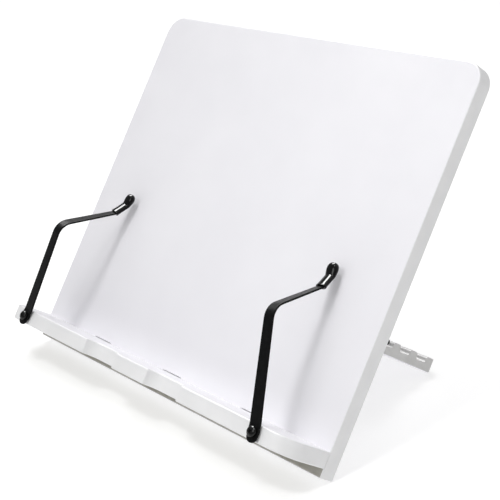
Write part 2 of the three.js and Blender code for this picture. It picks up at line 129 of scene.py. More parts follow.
def turned_extents(node):
    """Lowest and highest corner of a CAD node along the panel's axes, in metres."""
    back = TURN.transposed()
    places = [back @ vertex.co for vertex in frame["nodes"][node].data.vertices]
    low = Vector([min(place[i] for place in places) for i in range(3)])
    high = Vector([max(place[i] for place in places) for i in range(3)])
    return low, high


def panel_origin():
    low, high = turned_extents("board_panel")
    return Vector(((low.x + high.x) / 2, low.y, high.z))


ORIGIN = panel_origin()
AXES = Matrix.Translation(TURN @ ORIGIN) @ TURN.to_4x4() @ Matrix.Scale(MM, 4)


def extents(node):
    """Lowest and highest corner of a CAD node in the panel's axes, in millimetres."""
    low, high = turned_extents(node)
    return (low - ORIGIN) / MM, (high - ORIGIN) / MM


def pivot(name):
    """A joint's place in the panel's axes, in millimetres."""
    return AXES.inverted() @ Vector(JOINTS[name]["pos_m"])


PANEL_LOW, PANEL_HIGH = extents("board_panel")
LEDGE_LOW, LEDGE_HIGH = extents("front_ledge")
FLAP_LOW, FLAP_HIGH = extents("rear_flap")
BACK = PANEL_LOW.z
LEDGE_MIDDLE = (LEDGE_LOW.y + LEDGE_HIGH.y) / 2
HINGE_AXIS = pivot("flap_hinge")
BAIL_PIVOT = pivot("bail_pivot")
ARM_PIVOT = pivot("right_arm_pivot")
STRAP_LOW = extents("right_arm_washer")[1].z + 0.1
STRAP_MIDDLE = STRAP_LOW + ARM["thick"] / 2


# ---- outlines ----
def arc(centre, radius, start, end, steps):
    """Points on an arc, in degrees, both ends included."""
    points = []
    for k in range(steps + 1):
        angle = math.radians(start + (end - start) * k / steps)
        points.append((centre[0] + radius * math.cos(angle), centre[1] + radius * math.sin(angle)))
    return points


def fillet(points, radii, steps):
    """A polyline in two or three dimensions with each inner corner rounded to its own radius."""
    line = [points[0]]
    for before, corner, after, radius in zip(points, points[1:], points[2:], radii):
        into = (corner - before).normalized()
        out = (after - corner).normalized()
        turn = into.angle(out)
        if radius == 0 or turn < 1e-4:
            line.append(corner)
            continue
        setback = radius * math.tan(turn / 2)
        start = corner - into * setback
        side = (out - into * into.dot(out)).normalized()
        for k in range(steps + 1):
            angle = turn * k / steps
            line.append(start + into * (radius * math.sin(angle)) + side * (radius * (1 - math.cos(angle))))
    line.append(points[-1])
    return line


def rounded_rectangle(half_x, half_y, radius, steps):
    corners = [(1, 1, 0), (-1, 1, 90), (-1, -1, 180), (1, -1, 270)]
    points = []
    for sign_x, sign_y, start in corners:
        centre = (sign_x * (half_x - radius), sign_y * (half_y - radius))
        points += arc(centre, radius, start, start + 90, steps)
    return points


# ---- mesh building, in millimetres ----
def extrude(outline, place, depth):
    """A prism. place turns an outline point into a corner and depth is the vector that it moves by."""
    bm = bmesh.new()
    near = [bm.verts.new(place(*point)) for point in outline]
    far = [bm.verts.new(vertex.co + depth) for vertex in near]
    bm.faces.new(near)
    bm.faces.new(list(reversed(far)))
    count = len(outline)
    for i in range(count):
        j = (i + 1) % count
        bm.faces.new((near[i], far[i], far[j], near[j]))
    bmesh.ops.remove_doubles(bm, verts=bm.verts, dist=1e-4)
    bmesh.ops.recalc_face_normals(bm, faces=bm.faces)
    return bm


def round_edges(bm, width, segments=3, chosen=None, least=30.0):
    """Rounds every edge sharper than least degrees, or those of them that chosen picks."""
    bm.normal_update()
    edges = []
    for edge in bm.edges:
        if len(edge.link_faces) == 2 and math.degrees(edge.calc_face_angle(0)) > least:
            middle = (edge.verts[0].co + edge.verts[1].co) / 2
            if chosen is None or chosen(middle):
                edges.append(edge)
    bmesh.ops.bevel(
        bm, geom=edges, offset=width, segments=segments, profile=0.5, affect="EDGES", clamp_overlap=True
    )
    return bm


def loft(rings):
    """A closed tube through rings of points, with a flat end at both ends."""
    bm = bmesh.new()
    rows = [[bm.verts.new(point) for point in ring] for ring in rings]
    count = len(rows[0])
    for row, following in zip(rows, rows[1:]):
        for i in range(count):
            j = (i + 1) % count
            bm.faces.new((row[i], row[j], following[j], following[i]))
    bm.faces.new(rows[0])
    bm.faces.new(rows[-1])
    bmesh.ops.recalc_face_normals(bm, faces=bm.faces)
    return bm


def lathe(profile, sides=40):
    """Turns (radius, z) points about z. A radius of 0 closes the end, or the list closes on itself."""
    bm = bmesh.new()
    rows = []
    for radius, z in profile:
        if radius < 1e-6:
            rows.append([bm.verts.new((0, 0, z))])
        else:
            steps = [2 * math.pi * k / sides for k in range(sides)]
            rows.append([bm.verts.new((radius * math.cos(a), radius * math.sin(a), z)) for a in steps])
    pairs = list(zip(rows, rows[1:]))
    if len(rows[0]) > 1 and len(rows[-1]) > 1:
        pairs.append((rows[-1], rows[0]))
    for row, following in pairs:
        for i in range(sides):
            j = (i + 1) % sides
            near = (row[i % len(row)], row[j % len(row)])
            far = (following[j % len(following)], following[i % len(following)])
            unlike = list(dict.fromkeys(near + far))
            if len(unlike) > 2:
                bm.faces.new(unlike)
    bmesh.ops.recalc_face_normals(bm, faces=bm.faces)
    return bm


def cylinder(radius, low, high):
    """A plain cylinder about z."""
    return lathe([(0, low), (radius, low), (radius, high), (0, high)])


def heading(line, i):
    """The direction of a line of points at point i, from the points on both sides of it."""
    return (line[min(i + 1, len(line) - 1)] - line[max(i - 1, 0)]).normalized()


def sweep(line, radius, sides):
    """A round wire along a line, with domed ends."""
    rings = []
    normal = None
    for i, point in enumerate(line):
        along = heading(line, i)
        if normal is None:
            normal = along.orthogonal().normalized()
        normal = (normal - along * normal.dot(along)).normalized()
        across = along.cross(normal)
        rings.append((point, normal.copy(), across, along))
    dome = []
    for degrees in (75, 50, 25):
        angle = math.radians(degrees)
        dome.append((radius * math.cos(angle), radius * math.sin(angle)))

    def ring(point, normal, across, size):
        steps = [2 * math.pi * k / sides for k in range(sides)]
        return [point + normal * (size * math.cos(a)) + across * (size * math.sin(a)) for a in steps]

    rows = []
    point, normal, across, along = rings[0]
    for size, out in dome:
        rows.append(ring(point + along * (radius - out), normal, across, size))
    for point, normal, across, along in rings[1:-1]:
        rows.append(ring(point, normal, across, radius))
    point, normal, across, along = rings[-1]
    for size, out in reversed(dome):
        rows.append(ring(point - along * (radius - out), normal, across, size))
    return loft(rows)


def moved(bm, matrix):
    bm.transform(matrix)
    return bm


def shift(x, y, z):
    return Matrix.Translation((x, y, z))


def turn_about(axis, degrees):
    return Matrix.Rotation(math.radians(degrees), 4, axis)


def to_object(bm, name):
    mesh = bpy.data.meshes.new(name)
    bm.to_mesh(mesh)
    bm.free()
    made = bpy.data.objects.new(name, mesh)
    bpy.context.scene.collection.objects.link(made)
    return made


def apply_modifiers(made):
    graph = bpy.context.evaluated_depsgraph_get()
    final = bpy.data.meshes.new_from_object(made.evaluated_get(graph))
    made.modifiers.clear()
    made.data = final


def carve(made, cutters, operation="DIFFERENCE"):
    """Cuts the cutters away from made, or joins them to it, and deletes them."""
    for bm in cutters:
        tool = to_object(bm, "tool")
        boolean = made.modifiers.new("carve", "BOOLEAN")
        boolean.operation = operation
        boolean.solver = "EXACT"
        boolean.object = tool
        apply_modifiers(made)
        bpy.data.objects.remove(tool)
    return made


def complete(made, node, body, material, smooth=35.0):
    """Shades a piece, puts it in the frame and lets it stand for its CAD node."""
    made.name = node
    made.data.transform(AXES)
    made.data.shade_smooth()
    made.data.set_sharp_from_angle(angle=math.radians(smooth))
    weighted = made.modifiers.new("normals", "WEIGHTED_NORMAL")
    weighted.keep_sharp = True
    weighted.weight = 100
    apply_modifiers(made)
    made.data.materials.clear()
    made.data.materials.append(material)
    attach(made, body)
    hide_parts(node)
    return made


# ---- materials ----
class Surface:
    """A Principled material with helpers for the noise that varies it."""

    def __init__(self, name, roughness, metallic=0.0, specular=0.5):
        self.material = bpy.data.materials.new(name)
        self.material.use_nodes = True
        self.nodes = self.material.node_tree.nodes
        self.links = self.material.node_tree.links
        self.shader = self.nodes["Principled BSDF"]
        self.shader.inputs["Roughness"].default_value = roughness
        self.shader.inputs["Metallic"].default_value = metallic
        self.shader.inputs["Specular IOR Level"].default_value = specular
        self.place = self.nodes.new("ShaderNodeTexCoord").outputs["Object"]

    def noise(self, scale, detail=3.0, stretch=(1, 1, 1)):
        mapping = self.nodes.new("ShaderNodeMapping")
        mapping.inputs["Scale"].default_value = stretch
        self.links.new(self.place, mapping.inputs["Vector"])
        texture = self.nodes.new("ShaderNodeTexNoise")
        texture.inputs["Scale"].default_value = scale
        texture.inputs["Detail"].default_value = detail
        self.links.new(mapping.outputs["Vector"], texture.inputs["Vector"])
        return texture.outputs["Fac"]

    def blend(self, factor, low, high, start=0.35, end=0.65):
        """Runs from colour low to colour high as factor goes from start to end."""
        ramp = self.nodes.new("ShaderNodeValToRGB")
        ramp.color_ramp.elements[0].position = start
        ramp.color_ramp.elements[1].position = end
        ramp.color_ramp.elements[0].color = (*low, 1)
        ramp.color_ramp.elements[1].color = (*high, 1)
        self.links.new(factor, ramp.inputs["Fac"])
        return ramp.outputs["Color"]

    def span(self, factor, low, high, start=0.3, end=0.7):
        """Runs from number low to number high as factor goes from start to end."""
        scale = self.nodes.new("ShaderNodeMapRange")
        scale.inputs["From Min"].default_value = start
        scale.inputs["From Max"].default_value = end
        scale.inputs["To Min"].default_value = low
        scale.inputs["To Max"].default_value = high
        self.links.new(factor, scale.inputs["Value"])
        return scale.outputs["Result"]

    def colour(self, source):
        self.links.new(source, self.shader.inputs["Base Color"])

    def roughness(self, source):
        self.links.new(source, self.shader.inputs["Roughness"])

    def bump(self, heights, distance, strength=1.0):
        bump = self.nodes.new("ShaderNodeBump")
        bump.inputs["Strength"].default_value = strength
        bump.inputs["Distance"].default_value = distance
        self.links.new(heights, bump.inputs["Height"])
        self.links.new(bump.outputs["Normal"], self.shader.inputs["Normal"])


def laminate_surface():
    """Smooth white melamine: a faint pearl texture and clouding, with a lilac cast."""
    surface = Surface("white_laminate", 0.4)
    surface.colour(surface.blend(surface.noise(14, 4), (0.845, 0.838, 0.872), (0.872, 0.865, 0.897)))
    surface.roughness(surface.span(surface.noise(90, 3), 0.36, 0.46))
    surface.bump(surface.noise(1800, 2), 0.00004, 0.35)
    return surface.material


def edge_band_surface():
    """The same white on a thin plastic edge band, a little greyer, with saw marks along it."""
    surface = Surface("white_edge_band", 0.42)
    surface.colour(surface.blend(surface.noise(60, 3), (0.8, 0.8, 0.805), (0.835, 0.835, 0.84)))
    surface.roughness(surface.span(surface.noise(400, 2, (1, 0.1, 1)), 0.38, 0.5))
    surface.bump(surface.noise(1400, 2), 0.00004, 0.35)
    return surface.material


def flap_shade_band_surface():
    """The flap's edge band and groove faces, a greyer white than the panel's: painted shade for the shade
    that falls under the panel and in the grooves.
    """
    surface = Surface("flap_band_painted_shade", 0.45)
    surface.colour(surface.blend(surface.noise(60, 3), (0.6, 0.595, 0.585), (0.65, 0.645, 0.635)))
    surface.roughness(surface.span(surface.noise(400, 2, (1, 1, 0.1)), 0.4, 0.52))
    surface.bump(surface.noise(1400, 2), 0.00004, 0.35)
    return surface.material


def under_ledge_shade_surface():
    """Painted shade under the ledge: a dark warm grey that stands in for the ledge's shadow, with fine
    fibres.
    """
    surface = Surface("painted_shade_under_ledge", 0.7, specular=0.3)
    surface.colour(surface.blend(surface.noise(420, 4, (0.3, 1, 1)), (0.4, 0.39, 0.35), (0.5, 0.49, 0.45)))
    surface.roughness(surface.span(surface.noise(600, 3), 0.6, 0.8))
    surface.bump(surface.noise(900, 4, (0.3, 1, 1)), 0.00008, 0.5)
    return surface.material


def black_steel_surface():
    """Satin black powder coat with its fine orange peel."""
    surface = Surface("black_powder_coat", 0.35, specular=0.08)
    surface.colour(surface.blend(surface.noise(300, 4), (0.0025, 0.0025, 0.0028), (0.005, 0.005, 0.0054)))
    surface.roughness(surface.span(surface.noise(700, 3), 0.27, 0.4))
    surface.bump(surface.noise(1900, 3), 0.00006, 0.5)
    return surface.material


def black_screw_surface():
    """Blackened steel, smoother than the powder coat, with faint noise in its colour, roughness and bump."""
    surface = Surface("blackened_steel", 0.16, specular=0.3)
    surface.colour(surface.blend(surface.noise(400, 3), (0.002, 0.002, 0.0022), (0.0045, 0.0045, 0.0048)))
    surface.roughness(surface.span(surface.noise(900, 3), 0.12, 0.2))
    surface.bump(surface.noise(1200, 2), 0.00003, 0.3)
    return surface.material


def black_plastic_surface():
    """Glossy dipped plastic, slightly wavy from the mould."""
    surface = Surface("black_dipped_plastic", 0.1, specular=0.2)
    surface.colour(surface.blend(surface.noise(240, 3), (0.002, 0.002, 0.0022), (0.004, 0.004, 0.0044)))
    surface.roughness(surface.span(surface.noise(500, 3), 0.07, 0.13))
    surface.bump(surface.noise(420, 2), 0.00004, 0.25)
    return surface.material


def plated_surface():
    """Bright zinc plate with faint rolling lines."""
    surface = Surface("zinc_plate", 0.28, metallic=1.0)
    surface.colour(surface.blend(surface.noise(220, 4), (0.56, 0.57, 0.585), (0.7, 0.705, 0.71)))
    surface.roughness(surface.span(surface.noise(900, 3, (0.08, 1, 1)), 0.2, 0.38))
    surface.bump(surface.noise(1500, 3, (0.06, 1, 1)), 0.00004, 0.4)
    return surface.material


def brass_surface():
    """Turned brass for the threaded inserts."""
    surface = Surface("machined_brass", 0.3, metallic=1.0)
    surface.colour(surface.blend(surface.noise(350, 3), (0.6, 0.43, 0.17), (0.74, 0.55, 0.25)))
    surface.roughness(surface.span(surface.noise(1200, 2), 0.24, 0.4))
    return surface.material


LAMINATE = laminate_surface()
EDGE_BAND = edge_band_surface()
# painted shade: a greyer band for the flap's edges and grooves, which lie in shade
FLAP_PAINTED_SHADE = flap_shade_band_surface()
# painted shade: a dark warm grey for the board's faces that lie in the ledge's shadow
UNDER_LEDGE_SHADE = under_ledge_shade_surface()
BLACK_STEEL = black_steel_surface()
BLACK_SCREW = black_screw_surface()
BLACK_PLASTIC = black_plastic_surface()
ZINC = plated_surface()
BRASS = brass_surface()


def paint_edges(made, faces_along, band):
    """Gives a board's edges the band material and its faces the laminate; on the flap that material is a
    greyer painted shade. faces_along is its thin axis.
    """
    made.data.materials.append(band)
    along = TURN @ Vector(faces_along)
    flat = 0.6  # a larger cosine than this makes a face one of the board's flat ones
    for polygon in made.data.polygons:
        if abs(polygon.normal.dot(along)) < flat:
            polygon.material_index = 1


def paint_groove_shade(made, low, high):
    """Gives every face whose middle lies between two heights material slot 1, which on the flap is its greyer
    painted shade, so the grooves are painted darker.
    """
    back = AXES.inverted()
    for polygon in made.data.polygons:
        if low < (back @ polygon.center).y < high:
            polygon.material_index = 1


def split_below(made, height):
    """Divides the faces of a piece along a line across the panel, at that height."""
    bm = bmesh.new()
    bm.from_mesh(made.data)
    every = bm.verts[:] + bm.edges[:] + bm.faces[:]
    bmesh.ops.bisect_plane(bm, geom=every, dist=1e-4, plane_co=(0, height, 0), plane_no=(0, 1, 0))
    bm.to_mesh(made.data)
    bm.free()


def paint_under_ledge_shade(made, toward, height):
    """Paints shade on the faces below height that look toward a direction: a dark material that stands in for
    the shadow under the ledge.
    """
    made.data.materials.append(UNDER_LEDGE_SHADE)
    back = AXES.inverted()
    look = TURN @ Vector(toward)
    straight = 0.9  # the least cosine of a face that looks that way
    for polygon in made.data.polygons:
        if polygon.normal.dot(look) > straight and (back @ polygon.center).y < height:
            polygon.material_index = 2


# ---- screws ----
def thread(shank, start, end, pitch):
    """Profile points of a threaded shank, shown as rings."""
    points = []
    count = max(2, int(abs(end - start) / pitch))
    step = (end - start) / count
    for k in range(count):
        points.append((shank, start + k * step))
        points.append((shank * 0.8, start + (k + 0.5) * step))
    return points


def cross_recess(size, depth):
    """A tapered cross, open at z = 0 and pointing to +z, for a cross-head screw."""
    arms = []
    for turned in (0, 90):
        rings = []
        for share in (0.0, 1.0):
            half = size * (1 - 0.55 * share)
            thick = size * 0.2 * (1 - 0.25 * share)
            z = -CUT + (depth + CUT) * share
            rings.append([(x, y, z) for x, y in rounded_rectangle(half, thick, thick * 0.6, 3)])
        arms.append(moved(loft(rings), turn_about("Z", turned)))
    return arms


def countersunk(screw):
    """A countersunk wood screw whose head lies at z = 0 and whose point is at z = length."""
    head, depth, shank, length = screw["head"], screw["depth"], screw["shank"], screw["length"]
    taper = length - 2.2 * shank
    profile = [(0, 0.04 * head), (0.9 * head, 0), (head, 0.06 * depth), (head, 0.16 * depth)]
    profile += [(shank * 1.05, depth), (shank * 1.05, depth + 0.1 * length)]
    profile += thread(shank, depth + 0.12 * length, taper, screw["pitch"])
    profile += [(0.75 * shank, taper + 0.5 * shank), (0.45 * shank, taper + 1.3 * shank), (0, length)]
    made = to_object(lathe(profile, 32), "screw")
    return carve(made, cross_recess(head * 0.62, depth * 0.75))


def countersunk_hole(screw):
    """The room for that screw, open past z = 0."""
    head, shank = screw["head"] + SCREW_ROOM, screw["shank"] + SCREW_ROOM
    profile = [(0, -CUT), (head, -CUT), (head, 0), (shank, screw["depth"] + SCREW_ROOM)]
    profile += [(shank, screw["length"]), (0, screw["length"] + shank)]
    return lathe(profile, 32)


def drilled(screw, places):
    """A cutter for that screw at each place."""
    return [moved(countersunk_hole(screw), place) for place in places]


def add_screws(name, body, screw, places):
    """One screw at each place, numbered from the left, each turned differently."""
    for number, place in enumerate(places, 1):
        made = countersunk(screw)
        made.data.transform(place @ turn_about("Z", 23 * number))
        complete(made, f"{name}_{number}", body, ZINC)


def ledge_screw_places():
    return [shift(x, LEDGE_MIDDLE, BACK + LEDGE_SCREW_SINK) for x in TAB_X]


def hinge_screw_places(leaf):
    """Places of the screws in the panel's leaves or the flap's leaves, at the leaf's outer face."""
    out = HINGE["barrel"] + HINGE["leaf"] * HINGE_SCREW_OUT
    places = []
    for hinge in (-HINGE["x"], HINGE["x"]):
        for offset in (-HINGE_SCREW_X, HINGE_SCREW_X):
            x = hinge + offset
            if leaf == "panel":
                places.append(shift(x, HINGE_AXIS.y + out, panel_leaf_face()))
            else:
                places.append(shift(x, flap_leaf_face(), HINGE_AXIS.z - out) @ turn_about("X", 90))
    return places


def panel_leaf_face():
    return extents("left_hinge_panel_leaf")[1].z - HINGE["thick"]


def flap_leaf_face():
    return extents("left_hinge_flap_leaf")[0].y + HINGE["thick"]


def clip_x(sign):
    low, high = extents("right_bail_clip")
    return sign * (low.x + high.x) / 2


def clip_screw_places():
    face = extents("right_bail_clip")[1].z - CLIP["thick"]
    places = []
    for sign in (-1, 1):
        for side in (-1, 1):
            places.append(shift(clip_x(sign), BAIL_PIVOT.y + side * CLIP["screw"], face))
    return places


# ---- panel ----
def panel_outline():
    half, top = PANEL_HIGH.x, PANEL_HIGH.y
    centre_x, centre_y = half - PANEL_CORNER, top - PANEL_CORNER
    outline = [(-half, 0.0), (half, 0.0)]
    outline += arc((centre_x, centre_y), PANEL_CORNER, 0, 90, 20)
    outline += arc((-centre_x, centre_y), PANEL_CORNER, 90, 180, 20)
    return outline


def box_cutter(low, high):
    corners = [(low[0], low[1]), (high[0], low[1]), (high[0], high[1]), (low[0], high[1])]
    return extrude(corners, lambda x, y: Vector((x, y, low[2])), Vector((0, 0, high[2] - low[2])))


def build_panel():
    slab = extrude(panel_outline(), lambda x, y: Vector((x, y, BACK)), Vector((0, 0, -BACK)))
    made = to_object(round_edges(slab, BOARD_EDGE, 4), "board_panel")
    cutters = []
    half = TAB["width"] / 2 + ROOM
    for x in TAB_X:
        low = (x - half, LEDGE_LOW.y - ROOM, LEDGE_LOW.z - ROOM)
        cutters.append(box_cutter(low, (x + half, LEDGE_HIGH.y + TAB["slack"], CUT)))
    to_back = shift(0, 0, -LEDGE_SCREW_SINK)
    cutters += drilled(LEDGE_SCREW, [to_back @ place for place in ledge_screw_places()])
    cutters += drilled(SMALL_SCREW, hinge_screw_places("panel") + clip_screw_places())
    carve(made, cutters)
    # the split lets the painted shade stop at the ledge's underside
    split_below(made, LEDGE_LOW.y)
    complete(made, "board_panel", "board", LAMINATE)
    paint_edges(made, (0, 0, 1), EDGE_BAND)
    # painted shade: the panel's front below the ledge gets a dark colour for the ledge's shadow
    paint_under_ledge_shade(made, (0, 0, 1), LEDGE_LOW.y)


# ---- front ledge ----
def ledge_outline():
    """Drawn as (x, z): the tabs at the back, rounded ends and two finger scoops at the front."""
    half, front, tab_end = LEDGE_HIGH.x, LEDGE_HIGH.z, LEDGE_LOW.z
    outline = [(-half, SEAM)]
    side = TAB["width"] / 2
    for x in TAB_X:
        outline += [(x - side, SEAM), (x - side, tab_end), (x + side, tab_end), (x + side, SEAM)]
    outline.append((half, SEAM))
    outline += arc((half - LEDGE_CORNER, front - LEDGE_CORNER), LEDGE_CORNER, 0, 90, 16)
    for x in (SCOOP["x"], -SCOOP["x"]):
        reach, depth = SCOOP["width"] / 2, SCOOP["depth"]
        outline += arc((x + reach - depth, front), depth, 0, -90, 12)
        outline += arc((x - reach + depth, front), depth, -90, -180, 12)
    outline += arc((-half + LEDGE_CORNER, front - LEDGE_CORNER), LEDGE_CORNER, 90, 180, 16)
    return outline


def build_ledge():
    low, high = LEDGE_LOW.y, LEDGE_HIGH.y
    slab = extrude(ledge_outline(), lambda x, z: Vector((x, low, z)), Vector((0, high - low, 0)))
    round_edges(slab, LEDGE_EDGE, 4, chosen=lambda middle: middle.z > 1)
    made = to_object(slab, "front_ledge")
    front = LEDGE_HIGH.z
    insert = extents("right_arm_insert")
    hole = (insert[1].x - insert[0].x) / 2 + ROOM
    cutters = drilled(LEDGE_SCREW, ledge_screw_places())
    for x in (-ARM_PIVOT.x, ARM_PIVOT.x):
        wall = cylinder(hole, insert[0].z - front, CUT)
        cutters.append(moved(wall, shift(x, ARM_PIVOT.y, front)))
    carve(made, cutters)
    complete(made, "front_ledge", "board", LAMINATE)
    paint_edges(made, (0, 1, 0), EDGE_BAND)
    # painted shade: the ledge's underside gets a dark colour for the shade under it
    paint_under_ledge_shade(made, (0, -1, 0), LEDGE_MIDDLE)


# ---- page arms ----
def on_arm(s, h):
    """A place in an arm's middle plane, from the distance along the arm and the height."""
    return Vector((0, s, h))


def strap_line():
    """Centre line of the strip from behind the pivot to its end inside the cap."""
    inside = (TIP["strip_end"] - TIP["crease"][0]) / (TIP["toe"][0] - TIP["crease"][0])
    corners = [
        on_arm(-ARM["foot_back"] - ARM["foot"], STRAP_MIDDLE),
        on_arm(ARM["flat"], STRAP_MIDDLE),
        on_arm(ARM["reach"], STRAP_MIDDLE + ARM["rise"]),
        on_arm(*TIP["mouth"]),
        on_arm(*TIP["crease"]),
        on_arm(TIP["strip_end"], TIP["crease"][1] + inside * (TIP["toe"][1] - TIP["crease"][1])),
    ]
    return fillet(corners, [2, ARM["bend"], 4, 4], 14)


def strap_half(s):
    """Half the strip's width: a round foot, then straight sides that narrow to the tip."""
    back, foot = -ARM["foot_back"], ARM["foot"]
    if s < back:
        return math.sqrt(max(foot ** 2 - (back - s) ** 2, 0.05))
    if s < ARM["reach"]:
        return foot + (ARM["bend_half"] - foot) * (s - back) / (ARM["reach"] - back)
    share = min((s - ARM["reach"]) / (TIP["mouth"][0] - ARM["reach"]), 1)
    return ARM["bend_half"] + (ARM["tip_half"] - ARM["bend_half"]) * share


def strap_rings():
    """Rounded cross-sections along the strip."""
    back, foot = -ARM["foot_back"], ARM["foot"]
    around = [math.radians(angle) for angle in range(177, 89, -6)]
    stations = [on_arm(back + foot * math.cos(angle), STRAP_MIDDLE) for angle in around]
    stations += [on_arm(back + 2, STRAP_MIDDLE), on_arm(2.5, STRAP_MIDDLE)]
    stations += [point for point in strap_line() if point.y > 3]
    rings = []
    for i, point in enumerate(stations):
        up = Vector((1, 0, 0)).cross(heading(stations, i))
        half = strap_half(point.y)
        section = rounded_rectangle(half, ARM["thick"] / 2, min(ARM["edge"], half * 0.8), 4)
        rings.append([point + Vector((a, 0, 0)) + up * b for a, b in section])
    return rings


def between(value, points):
    """Reads a curve given as (value, result) points, straight between them."""
    for (left, low), (right, high) in zip(points, points[1:]):
        if value <= right:
            return low + (high - low) * max(0.0, (value - left) / (right - left))
    return points[-1][1]


def squared(value):
    """A sine or cosine, pushed out a little, so that the cap's section is squarer than an ellipse."""
    return math.copysign(abs(value) ** TIP_SECTION, value)


def tip_rings():
    """The dipped cap: a lip at its mouth, a flat sleeve, a crease and a rounded level toe."""
    sides = 44
    corners = [on_arm(*TIP["mouth"]), on_arm(*TIP["crease"]), on_arm(*TIP["toe"])]
    mouth, crease, toe = (place[0] for place in (TIP["mouth"], TIP["crease"], TIP["toe"]))
    wide, toe_wide, thin, toe_thin = TIP["wide"], TIP["toe_wide"], TIP["thin"], TIP["toe_thin"]
    end = toe + toe_thin
    into = (corners[1] - corners[0]).normalized()
    stations = [corners[0] + into * step for step in (0.0, 0.12, 0.35, 0.8, 1.1, 2.5, 4.5, 6.5)]
    stations += fillet(corners, [4], 10)[1:-1]
    level = (corners[2] - corners[1]).normalized()
    stations += [corners[2] + level * (end - toe_wide + toe_wide * math.sin(math.radians(a)) - toe)
                 for a in (-20, -8, 5, 18, 30, 42, 53, 63, 72, 79, 84, 87.5)]
    widths = [(mouth, 0.94 * wide), (mouth + 0.15, wide), (mouth + 0.7, wide), (mouth + 1, 0.95 * wide)]
    widths += [(crease - 1.5, 0.94 * wide), (crease + 0.5, 0.97 * wide), (crease + 2.5, toe_wide)]
    heights = [(mouth, 0.9 * thin), (mouth + 0.15, thin), (mouth + 0.7, thin), (mouth + 1, 0.92 * thin)]
    heights += [(crease - 1.5, 0.9 * thin), (crease, 0.95 * thin), (crease + 1.6, 1.08 * thin)]
    heights += [(crease + 3.5, toe_thin), (toe, toe_thin)]
    rings = []
    for i, point in enumerate(stations):
        up = Vector((1, 0, 0)).cross(heading(stations, i))
        s = point.y
        half_width, half_height = between(s, widths), between(s, heights)
        past = max(0.0, s - (end - toe_wide))
        half_width = min(half_width, math.sqrt(max(toe_wide ** 2 - past ** 2, 0.02)))
        past = max(0.0, s - toe)
        half_height = min(half_height, math.sqrt(max(toe_thin ** 2 - past ** 2, 0.01)))
        ring = []
        for k in range(sides):
            angle = 2 * math.pi * k / sides
            a = half_width * squared(math.cos(angle))
            b = half_height * squared(math.sin(angle))
            ring.append(point + Vector((a, 0, 0)) + up * b)
        rings.append(ring)
    return rings


def pan_head_screw():
    """The pivot screw: a domed head, with a cross recess and a threaded shank."""
    head, height, shank = ARM_SCREW["head"], ARM_SCREW["height"], ARM_SCREW["shank"]
    low, high = extents("right_arm_screw")
    seat = high.z - height
    shoulder = seat + 0.3 * height
    dome = high.z - shoulder
    profile = [(0, high.z)]
    for degrees in range(10, 91, 10):
        angle = math.radians(degrees)
        profile.append((head * math.sin(angle) ** 0.9, shoulder + dome * math.cos(angle) ** 0.8))
    profile += [(head, seat + 0.1 * height), (0.96 * head, seat), (shank, seat), (shank, seat - 3)]
    profile += thread(shank, seat - 3.2, low.z + 0.6, ARM_SCREW["pitch"])
    profile += [(0.7 * shank, low.z), (0, low.z)]
    made = to_object(lathe(profile, 48), "screw")
    place = shift(0, 0, high.z - 0.1) @ turn_about("X", 180)
    return carve(made, [moved(bm, place) for bm in cross_recess(head * 0.5, ARM_SCREW["recess"])])


def ring_profile(inner, outer, low, high, edge):
    """A flat ring's profile with rounded outer edges."""
    return [
        (inner, low), (outer - edge, low), (outer - 0.3 * edge, low + 0.3 * edge), (outer, low + edge),
        (outer, high - edge), (outer - 0.3 * edge, high - 0.3 * edge), (outer - edge, high), (inner, high),
    ]


def build_arms():
    for side, sign in SIDES:
        body = f"{side}_arm"
        place = shift(sign * ARM_PIVOT.x, ARM_PIVOT.y, 0) @ Matrix.Rotation(sign * ARM_TILT, 4, "Z")
        strap = to_object(moved(loft(strap_rings()), place), body)
        hole = cylinder(ARM["hole"], STRAP_LOW - 1, STRAP_LOW + 3)
        carve(strap, [moved(hole, place)])
        complete(strap, body, body, BLACK_STEEL)
        tip = to_object(moved(loft(tip_rings()), place), f"{side}_arm_tip")
        complete(tip, f"{side}_arm_tip", body, BLACK_PLASTIC, smooth=60)


def build_arm_fixings():
    washer_low, washer_high = extents("right_arm_washer")
    insert_low, insert_high = extents("right_arm_insert")
    washer_radius = (washer_high.x - washer_low.x) / 2
    insert_radius = (insert_high.x - insert_low.x) / 2
    insert_bore = ARM_SCREW["shank"] + INSERT["room"]
    for side, sign in SIDES:
        place = shift(sign * ARM_PIVOT.x, ARM_PIVOT.y, 0)
        screw = pan_head_screw()
        screw.data.transform(place @ turn_about("Z", 35 * sign))
        complete(screw, f"{side}_arm_screw", "board", BLACK_SCREW)
        section = ring_profile(ARM["hole"], washer_radius, LEDGE_HIGH.z + 0.05, washer_high.z, WASHER_EDGE)
        washer = to_object(moved(lathe(section, 48), place), "washer")
        complete(washer, f"{side}_arm_washer", "board", BLACK_STEEL)
        profile = [(insert_bore, insert_low.z)]
        profile += thread(insert_radius, insert_low.z, insert_high.z - 1.4, INSERT["pitch"])
        profile += [(insert_radius, insert_high.z - INSERT["collar"]), (insert_radius, insert_high.z)]
        profile += [(insert_bore, insert_high.z)]
        insert = to_object(moved(lathe(profile, 40), place), "insert")
        complete(insert, f"{side}_arm_insert", "board", BRASS)


# ---- rear flap ----
def flap_outline():
    """Drawn as (x, z), with rounded corners at the far end."""
    half, root, tip = FLAP_HIGH.x, FLAP_HIGH.z, FLAP_LOW.z
    outline = [(half, root), (-half, root)]
    outline += arc((-half + FLAP_CORNER, tip + FLAP_CORNER), FLAP_CORNER, 180, 270, 10)
    outline += arc((half - FLAP_CORNER, tip + FLAP_CORNER), FLAP_CORNER, 270, 360, 10)
    return outline


